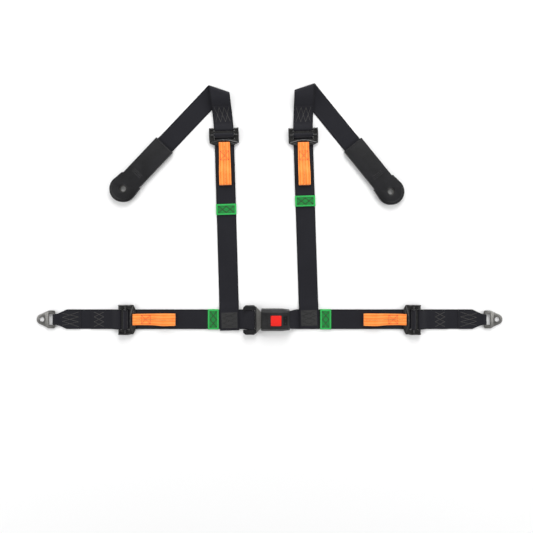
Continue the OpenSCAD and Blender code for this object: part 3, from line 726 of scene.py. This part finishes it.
# ---- Lap anchor straps: doubled and sewn at both ends, single between ----
# Each end passes round its bar and comes back on top, held by a crossed zigzag of stitches.

ROD = (-14.5 * mm, 6.25 * mm)
ROD_LOOP = 3.55 * mm
rod_low, rod_high = ROD[1] - ROD_LOOP, ROD[1] + ROD_LOOP
LAYER = WEB + 0.05 * mm
PLATE_BAR_Z = 4 * mm
PLATE_LOOP = 3.25 * mm
NARROW = 13 * mm

for limb in LAPS:
    plate_bar = (in_limb(limb, joints[limb + "_plate_turn"]["pos_m"]).x, PLATE_BAR_Z)
    back = WEB / 2 + LAYER

    def lap_half(s, bar=plate_bar[0]):
        part = min(1.0, max(0.0, (s - bar - 6 * mm) / (24 * mm)))
        return NARROW + (HALF_WEB - NARROW) * part

    route = join_routes(
        straight((-111.8 * mm, back), (-157 * mm, back), 3 * mm),
        ease((-157 * mm, back), (plate_bar[0], PLATE_BAR_Z + PLATE_LOOP), 14),
        arc(plate_bar, PLATE_LOOP, 90, 270, 18),
        straight((plate_bar[0], WEB / 2), (-36 * mm, WEB / 2), 3 * mm),
        ease((-36 * mm, WEB / 2), (ROD[0] - 1 * mm, rod_low), 8),
        arc(ROD, ROD_LOOP, -90, 90, 18),
        ease((ROD[0], rod_high), (-37 * mm, back), 12),
        straight((-37 * mm, back), (-85.9 * mm, back), 3 * mm),
    )
    bm = bend_cloth(route, lap_half)
    make_piece(bm, limb + "_anchor_cloth", black_webbing, places[limb],
               body=limb + "_strap", replaces=[limb + "_anchor_strap"])
    top = WEB + LAYER
    rows = crossed_zigzag(-155.7 * mm, -116.3 * mm, 18 * mm, 3)
    rows = [[(s, v * (lap_half(s) / HALF_WEB)) for s, v in row] for row in rows]
    rows += crossed_zigzag(-77.9 * mm, -54.3 * mm, 18 * mm, 3)
    rows = twin_rows(rows, TWIN_GAP)
    make_piece(sew(rows, flat_at(top)), limb + "_anchor_stitches", grey_thread, places[limb],
               body=limb + "_strap")

# ---- Lap end plates: grey steel, joggled up to a round bar for the webbing ----
# The bolt hole has a raised ring round it, and the plate's edges are rolled smooth.

PLATE_GREY = (0.10, 0.10, 0.096, 1)
PLATE_PALE = (0.22, 0.215, 0.205, 1)
plate_steel = brushed_steel("grey_plate_steel", PLATE_GREY, PLATE_PALE, 0.42)

for limb in LAPS:
    make_piece(cad_copy(limb + "_plate", 0.4 * mm, 3), limb + "_plate_steel", plate_steel,
               body=limb + "_end", replaces=[limb + "_plate"])

# ---- Shoulder straps above the adjusters: they loop round the rod, then rise to a soft fold ----
# The returned end lies on top, sewn down, and the strap turns under itself over a loose roll.

ROLL = 9 * mm
ROLL_TOP = WEB / 2 + 2 * ROLL
fold_facts = {}
for limb in SHOULDERS:
    joint = joints[limb + "_unfold"]
    crease_way = Vector(joint["axis"]).to_2d().normalized()
    top_middle = Vector(joint["pos_m"]).to_2d()
    rod_spot = (places[limb] @ Vector((ROD[0], 0, 0))).to_2d()
    strap_way = (top_middle - rod_spot).normalized()
    lean = strap_way.angle_signed(crease_way)
    shift = ROLL * math.pi * math.cos(lean) / math.sin(lean)
    under_middle = top_middle + crease_way * shift
    hole = Vector(mounts[limb + "_bolt"]["pos_m"]).to_2d()
    fold_facts[limb] = (crease_way, top_middle, strap_way, lean, shift, under_middle, hole)


def trim(bm, point, away):
    """Cuts a strap off at an upright plane, drops what lies beyond it and closes the end."""
    bmesh.ops.bisect_plane(bm, geom=bm.verts[:] + bm.edges[:] + bm.faces[:], dist=1e-7,
                           plane_co=point, plane_no=away, clear_outer=True)
    close_ends(bm)


for limb in SHOULDERS:
    crease_way, top_middle, strap_way, lean, shift, under_middle, hole = fold_facts[limb]
    turn_back = places[limb].to_3x3().inverted()
    way = turn_back @ strap_way.to_3d()
    reach = in_limb(limb, top_middle.to_3d()).x
    outward = Vector((-crease_way.y, crease_way.x, 0))
    slope = way.y / way.x

    def strap_middle(s):
        return (s - ROD[0]) * slope if s < ROD[0] else 0.0

    def strap_half(s):
        return HALF_WEB / abs(way.x) if s < -30 * mm else HALF_WEB

    low_line = join_routes(
        straight((reach - 16 * mm, ROLL_TOP), (reach + 9 * mm, ROLL_TOP), 4 * mm),
        ease((reach + 9 * mm, ROLL_TOP), (-48 * mm, rod_low), 20),
    )
    over = []
    for (s0, z0), (s1, z1) in zip(low_line, low_line[1:]):
        ahead = Vector((s1 - s0, z1 - z0)).normalized()
        spot = Vector((s1, z1)) + Vector((-ahead.y, ahead.x)) * LAYER
        if spot.x > -71.5 * mm:
            over.append(tuple(spot))
    route = join_routes(
        low_line,
        straight((-48 * mm, rod_low), (ROD[0], rod_low), 4 * mm),
        arc(ROD, ROD_LOOP, -90, 90, 18),
        ease((ROD[0], rod_high), (-32 * mm, rod_low + LAYER), 10),
        straight((-32 * mm, rod_low + LAYER), (-47 * mm, rod_low + LAYER), 3 * mm),
        list(reversed(over)),
    )
    bm = bend_cloth(route, strap_half, middle=strap_middle)
    local_out = turn_back @ outward
    trim(bm, in_limb(limb, top_middle.to_3d()), local_out)
    make_piece(bm, limb + "_anchor_cloth", black_webbing, places[limb],
               body=limb + "_strap", replaces=[limb + "_anchor_strap"])
    lines = sorted(over) + [(-47 * mm, rod_low + LAYER), (-20 * mm, rod_low + LAYER)]

    def over_height(s, lines=lines):
        for (s0, z0), (s1, z1) in zip(lines, lines[1:]):
            if s0 <= s <= s1:
                return z0 + (z1 - z0) * (s - s0) / (s1 - s0) + WEB / 2, (z1 - z0) / (s1 - s0)
        return lines[0][1] + WEB / 2, 0.0

    rows = crossed_zigzag(-67.5 * mm, -33 * mm, 18 * mm, 3)
    rows = [[(s, v + strap_middle(s)) for s, v in row] for row in rows]
    make_piece(sew(twin_rows(rows, TWIN_GAP), over_height), limb + "_anchor_stitches", grey_thread, places[limb],
               body=limb + "_strap")

# ---- Folds: the loose roll of each shoulder strap ----
# Half a turn of webbing, skewed because the strap leaves at an angle.

for limb in SHOULDERS:
    crease_way, top_middle, strap_way, lean, shift, under_middle, hole = fold_facts[limb]
    steps = 22
    bm = bend_cloth([(math.pi * ROLL * k / steps, 0.0) for k in range(steps + 1)], HALF_WEB, columns=14)
    widen = 1 / abs(math.sin(lean))
    for vert in bm.verts:
        turn = vert.co.x / ROLL
        radius = ROLL + vert.co.z
        u = vert.co.y * widen + shift * turn / math.pi
        vert.co = (u, radius * math.sin(turn), WEB / 2 + ROLL + radius * math.cos(turn))
    bmesh.ops.recalc_face_normals(bm, faces=bm.faces)
    outward = Vector((-crease_way.y, crease_way.x, 0))
    place = Matrix((crease_way.to_3d(), outward, UP)).transposed().to_4x4()
    place.translation = top_middle.to_3d()
    roll = make_piece(bm, limb + "_fold_cloth", black_webbing, place, replaces=[limb + "_fold"])
    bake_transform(roll)

# ---- Shoulder ends: the strap runs out from under the fold into its boot and round the plate's bar ----
# Inside the boot it narrows to the bar and comes back over itself.

BAR_REACH = 31 * mm
BOOT_LENGTH = 148 * mm
INNER_BAR = (BAR_REACH, 6 * mm)
inner_low = INNER_BAR[1] - PLATE_LOOP
end_places = {}
for limb in SHOULDERS:
    crease_way, top_middle, strap_way, lean, shift, under_middle, hole = fold_facts[limb]
    way = (under_middle - hole).normalized()
    place = Matrix((way.to_3d(), Vector((-way.y, way.x, 0)), UP)).transposed().to_4x4()
    place.translation = hole.to_3d()
    end_places[limb] = place
    length = (under_middle - hole).length

    def end_half(q):
        part = min(1.0, max(0.0, (q - BAR_REACH - 6 * mm) / (24 * mm)))
        return NARROW + (HALF_WEB - NARROW) * part

    route = join_routes(
        straight((length + 18 * mm, WEB / 2), (BOOT_LENGTH + 18 * mm, WEB / 2), 5 * mm),
        ease((BOOT_LENGTH + 18 * mm, WEB / 2), (BOOT_LENGTH + 2 * mm, inner_low), 8),
        straight((BOOT_LENGTH + 2 * mm, inner_low), (BAR_REACH + 1 * mm, inner_low), 5 * mm),
        arc(INNER_BAR, PLATE_LOOP, 270, 90, 16),
        ease((BAR_REACH, INNER_BAR[1] + PLATE_LOOP), (52 * mm, inner_low + LAYER), 10),
        straight((52 * mm, inner_low + LAYER), (100 * mm, inner_low + LAYER), 5 * mm),
    )
    bm = bend_cloth(route, end_half)
    outward = Vector((-crease_way.y, crease_way.x, 0))
    local = place.inverted()
    trim(bm, local @ under_middle.to_3d(), place.to_3x3().inverted() @ outward)
    make_piece(bm, limb + "_end_cloth", black_webbing, place, body=limb + "_end",
               replaces=[limb + "_end_strap"])

# ---- Boots: black moulded sleeves over the shoulder ends ----
# A long flat sleeve widens at a step into a round head with a bolt hole. A raised ridge follows the
# head, a rim runs round the mouth, and the steel plate shows inside the hole.

PLASTIC_DARK = (0.004, 0.004, 0.0045, 1)
PLASTIC_LIGHT = (0.013, 0.013, 0.015, 1)


def moulded(name, dark, light, roughness, grain_size=700.0):
    finish, nodes, link, shader = new_finish(name, light, roughness)
    shader.inputs["Specular IOR Level"].default_value = 0.28
    where = add_node(nodes, "TexCoord").outputs["Object"]
    pebble = grain(nodes, link, where, grain_size, 3.0)
    cloud = grain(nodes, link, where, 35.0, 2.0)
    tone = sum_up(nodes, link, "MULTIPLY", sum_up(nodes, link, "ADD", pebble, cloud), 0.5)
    link(ramp(nodes, link, tone, ((0.35, dark), (0.7, light))), shader.inputs["Base Color"])
    raise_by(nodes, link, pebble, shader, 0.06 * mm, 0.5)
    return finish


boot_plastic = moulded("boot_plastic", PLASTIC_DARK, PLASTIC_LIGHT, 0.42)
BOOT_TOP = 12 * mm

for limb in SHOULDERS:
    place = end_places[limb]
    bm = cad_copy(limb + "_boot", 0.7 * mm, 3)
    ring = [place @ Vector((26 * mm * math.cos(a), 26 * mm * math.sin(a), BOOT_TOP - 0.3 * mm))
            for a in [math.radians(100 + 160 * k / 40) for k in range(41)]]
    bead(bm, ring, 1.1 * mm)
    collar = [place @ Vector((11 * mm * math.cos(a), 11 * mm * math.sin(a), BOOT_TOP - 0.3 * mm))
              for a in [math.tau * k / 40 for k in range(41)]]
    bead(bm, collar, 0.8 * mm)
    for q, reach in ((BOOT_LENGTH - 2 * mm, 25), (48 * mm, 14), (52 * mm, 14), (56 * mm, 14)):
        rib = [place @ Vector((q, v * mm, BOOT_TOP - 0.2 * mm)) for v in range(-reach, reach + 1, 2)]
        bead(bm, rib, 0.8 * mm)
    make_piece(bm, limb + "_boot_plastic", boot_plastic, body=limb + "_end",
               replaces=[limb + "_boot"])
    plate = frame["nodes"][limb + "_anchor_plate"]
    plate.data.materials.clear()
    plate.data.materials.append(plain_steel)

# ---- Tongue: a steel plate that narrows to the blade, in a black moulded head ----
# The webbing comes round the plate's bar through the slot in the head.

head_plastic = moulded("head_plastic", PLASTIC_DARK, (0.026, 0.026, 0.028, 1), 0.33)
make_piece(cad_copy("tongue_plate", 0.35 * mm, 2), "tongue_steel", plain_steel, body="tongue",
           replaces=["tongue_plate"])
make_piece(cad_copy("tongue_cover", 0.6 * mm, 3), "tongue_head", head_plastic, body="tongue",
           replaces=["tongue_cover"])

TONGUE_BAR = (-54.5 * mm, 11.25 * mm)
BAR_LOOP = 3.55 * mm
left_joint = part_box("tongue_loop")[0][0]
route = join_routes(
    straight((-86 * mm, WEB / 2), (-85 * mm, WEB / 2)),
    ease((-85 * mm, WEB / 2), (-57 * mm, TONGUE_BAR[1] - BAR_LOOP), 14),
    arc(TONGUE_BAR, BAR_LOOP, -90, 90, 18),
    ease((TONGUE_BAR[0], TONGUE_BAR[1] + BAR_LOOP), (-87 * mm, 1.5 * WEB), 16),
    straight((-87 * mm, 1.5 * WEB), (left_joint, 1.5 * WEB)),
)
make_piece(bend_cloth(route, HALF_WEB), "tongue_loop_cloth", black_webbing, body="tongue",
           replaces=["tongue_loop"])

# ---- Buckle: black moulded housing in two halves over a steel frame ----
# A pebbled top with bevelled sides, a raised bezel round the button, and a recess behind it whose faces are painted
# near-black as shade.
# The webbing leaves through the rear, pinched a little by the frame.

shell_plastic = moulded("shell_plastic", (0.008, 0.008, 0.0085, 1), (0.03, 0.03, 0.031, 1), 0.4, 520.0)
BUCKLE_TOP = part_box("buckle_cover")[1][2]
bm = cad_copy("buckle_cover", 0.9 * mm, 3)
# Faces inside the recess take a near-black second finish: painted shade for the deep opening.
for face in bm.faces:
    spot = face.calc_center_median()
    in_recess = 19 * mm < spot.x < 29 * mm and abs(spot.y) < 11 * mm
    if in_recess and 22 * mm < spot.z < BUCKLE_TOP - 0.05 * mm:
        face.material_index = 1
for y in (-6.5 * mm, 6.5 * mm):
    bmesh.ops.create_uvsphere(bm, u_segments=20, v_segments=8, radius=1, matrix=Matrix.Translation(
        (24 * mm, y, 22.6 * mm)) @ Matrix.Diagonal((1.7 * mm, 1.7 * mm, 0.7 * mm, 1)))
rear = [(30 * mm + 1.6 * mm * (k / 12) ** 2 * 1.2, 17 * mm * k / 12, BUCKLE_TOP - 0.2 * mm) for k in range(-12, 13)]
bead(bm, rear, 0.6 * mm)
window = [(-12.9, -14.2), (15.8, -14.2), (15.8, 14.2), (-12.9, 14.2), (-12.9, -14.2)]
rounded = []
for (x0, y0), (x1, y1) in zip(window, window[1:]):
    rounded += [(x0 + (x1 - x0) * f, y0 + (y1 - y0) * f) for f in (0.06, 0.5, 0.94)]
rounded.append(rounded[0])
bead(bm, [(x * mm, y * mm, BUCKLE_TOP - 0.25 * mm) for x, y in rounded], 0.75 * mm)
# Near-black plastic for the recess: painted shade, not the housing's own colour.
painted_shade_plastic = moulded("recess_painted_shade", (0.001, 0.001, 0.001, 1), (0.003, 0.003, 0.003, 1), 0.6)
make_piece(bm, "buckle_top_shell", (shell_plastic, painted_shade_plastic), body="buckle", replaces=["buckle_cover"])
make_piece(cad_copy("buckle_base", 0.6 * mm, 2), "buckle_bottom_shell", shell_plastic,
           body="buckle", replaces=["buckle_base"])

REAR_BAR = (27 * mm, 11.5 * mm)
right_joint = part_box("buckle_loop")[1][0]


def pinched(x):
    stops = ((31, 20), (39, 22), (53, 24))
    for (x0, h0), (x1, h1) in zip(stops, stops[1:]):
        if x < x0 * mm:
            return h0 * mm
        if x < x1 * mm:
            return (h0 + (h1 - h0) * (x / mm - x0) / (x1 - x0)) * mm
    return HALF_WEB


route = join_routes(
    straight((55 * mm, WEB / 2), (54 * mm, WEB / 2)),
    ease((54 * mm, WEB / 2), (29 * mm, REAR_BAR[1] - BAR_LOOP), 14),
    arc(REAR_BAR, BAR_LOOP, 270, 90, 18),
    ease((REAR_BAR[0], REAR_BAR[1] + BAR_LOOP), (56 * mm, 1.5 * WEB), 18),
    straight((56 * mm, 1.5 * WEB), (right_joint, 1.5 * WEB)),
)
make_piece(bend_cloth(route, pinched), "buckle_loop_cloth", black_webbing, body="buckle",
           replaces=["buckle_loop"])

# ---- Button: glossy red moulding with a rounded edge and a slightly dished face ----

bm = cad_copy("button", 0.0)
upright = [
    e for e in bm.edges
    if abs(e.verts[0].co.z - e.verts[1].co.z) > 2 * mm and max(v.co.z for v in e.verts) > 23 * mm
]
bmesh.ops.bevel(bm, geom=upright, offset=3.4 * mm, offset_type="OFFSET", segments=6, profile=0.5,
                affect="EDGES", material=-1, clamp_overlap=True)
rim = [e for e in bm.edges if len(e.link_faces) == 2 and e.calc_face_angle(0.0) > math.radians(40)
       and min(v.co.z for v in e.verts) > 23 * mm]
bmesh.ops.bevel(bm, geom=rim, offset=1.1 * mm, offset_type="OFFSET", segments=4, profile=0.5,
                affect="EDGES", material=-1, clamp_overlap=True)
red_plastic = moulded("red_plastic", (0.71, 0.016, 0.012, 1), (0.80, 0.024, 0.018, 1), 0.3, 900.0)
make_piece(bm, "button_cap", red_plastic, body="button",
           replaces=["button"])

# ---- Inside the buckle: frame, screws, latch leaf, ejector and springs ----
# Steel and moulded parts under the shells. The button bears on two coil springs and on the sprung leaf
# whose tooth holds the tongue.

BUTTON_SPRING = (11 * mm, 9.5 * mm, 9.9 * mm)
SPRING_HEIGHT = 6.7 * mm
SPRING_RADIUS = 2.6 * mm
SPRING_TURNS = 4


def wind_spring(bm, foot, radius, wire, height, turns):
    """A coil of wire wound from a small circle, standing on its foot."""
    start = Matrix.Translation(foot + Vector((radius, 0, wire / 2))) @ Matrix.Rotation(math.pi / 2, 4, "X")
    ring = bmesh.ops.create_circle(bm, segments=8, radius=wire / 2, matrix=start, cap_ends=False)["verts"]
    edges = list({edge for vert in ring for edge in vert.link_edges})
    steps = turns * 20
    rise = Vector((0, 0, (height - wire) / steps))
    bmesh.ops.spin(bm, geom=ring + edges, cent=foot, axis=(0, 0, 1), dvec=rise, angle=math.tau * turns,
                   steps=steps, use_merge=False, use_duplicate=False)


bm = bmesh.new()
for side in (-1, 1):
    foot = Vector((BUTTON_SPRING[0], side * BUTTON_SPRING[1], BUTTON_SPRING[2]))
    wind_spring(bm, foot, SPRING_RADIUS, 0.7 * mm, SPRING_HEIGHT, SPRING_TURNS)
close_ends(bm)
springs = make_piece(bm, "button_coil_springs", plain_steel, body="buckle",
                     replaces=["button_springs"])
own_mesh(springs)
leaf = make_piece(cad_copy("latch_leaf", 0.15 * mm), "latch_spring_leaf", plain_steel,
                  body="buckle", replaces=["latch_leaf"])
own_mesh(leaf)

inside = {
    "buckle_frame": frame_coat, "buckle_screws": plain_steel, "ejector_spring": plain_steel,
    "ejector": head_plastic,
}
for node, finish in inside.items():
    frame["nodes"][node].data.materials.clear()
    frame["nodes"][node].data.materials.append(finish)

# ---- Sewn joints: each shoulder strap is stitched to the lap strap with a crossed zigzag ----
# Three crosses in a square patch go through all three layers beside the tongue and the buckle.

SEWN_TOP = 3 * WEB
for limb in SHOULDERS:
    middle = in_limb(limb, (0, 0, 0)).x
    rows = crossed_zigzag(-18 * mm, 18 * mm, 18 * mm, 3)
    rows = [[(middle + v, s) for s, v in row] for row in rows]
    body = root_of[limb]
    make_piece(sew(twin_rows(rows, TWIN_GAP), flat_at(SEWN_TOP)), limb + "_joint_stitches", black_thread,
               places[limb], body=body)

# ---- Floor, light and camera ----
# A pale seamless floor lit softly from above and a little from the shoulder end.

floor_finish, nodes, link, shader = new_finish("pale_floor", (0.86, 0.86, 0.86, 1), 0.9)
bm = bmesh.new()
bmesh.ops.create_grid(bm, x_segments=1, y_segments=1, size=6)
floor_mesh = bpy.data.meshes.new("floor")
bm.to_mesh(floor_mesh)
bm.free()
floor_mesh.materials.append(floor_finish)
floor = bpy.data.objects.new("floor", floor_mesh)
bpy.context.scene.collection.objects.link(floor)
floor.data.transform(Matrix.Translation((0, 0, -0.3 * mm)))

world = bpy.data.worlds.new("studio")
world.use_nodes = True
sky, sky_link = world.node_tree.nodes, world.node_tree.links.new
upward = add_node(sky, "SeparateXYZ")
sky_link(add_node(sky, "TexCoord").outputs["Generated"], upward.inputs[0])
glow = ramp(sky, sky_link, upward.outputs["Z"], ((0.15, (1, 1, 1, 1)), (0.95, (0.3, 0.3, 0.3, 1))))
sky_link(glow, sky["Background"].inputs["Color"])
sky["Background"].inputs["Strength"].default_value = 1.15
bpy.context.scene.world = world


def soft_light(name, spot, aim, size, power):
    light = bpy.data.lights.new(name, "AREA")
    light.shape = "SQUARE"
    light.size = size
    light.energy = power
    lamp = bpy.data.objects.new(name, light)
    lamp.location = spot
    way = Vector(aim) - Vector(spot)
    lamp.rotation_euler = way.to_track_quat("-Z", "Y").to_euler()
    bpy.context.scene.collection.objects.link(lamp)


soft_light("shoulder_softbox", (0.2, 2.4, 1.7), (0, 0.2, 0), 1.6, 55)
soft_light("left_softbox", (-2.3, 0.2, 1.5), (0, 0.2, 0), 1.4, 22)
soft_light("right_softbox", (2.3, 0.2, 1.5), (0, 0.2, 0), 1.4, 22)

camera_data = bpy.data.cameras.new("camera")
camera_data.sensor_width = 36
camera_data.lens = 38.4
camera_data.shift_y = -0.107
camera = bpy.data.objects.new("camera", camera_data)
camera.location = (-0.0218, 0.2699, 1.4)
bpy.context.scene.collection.objects.link(camera)
bpy.context.scene.camera = camera
bpy.context.scene.view_settings.view_transform = "Standard"
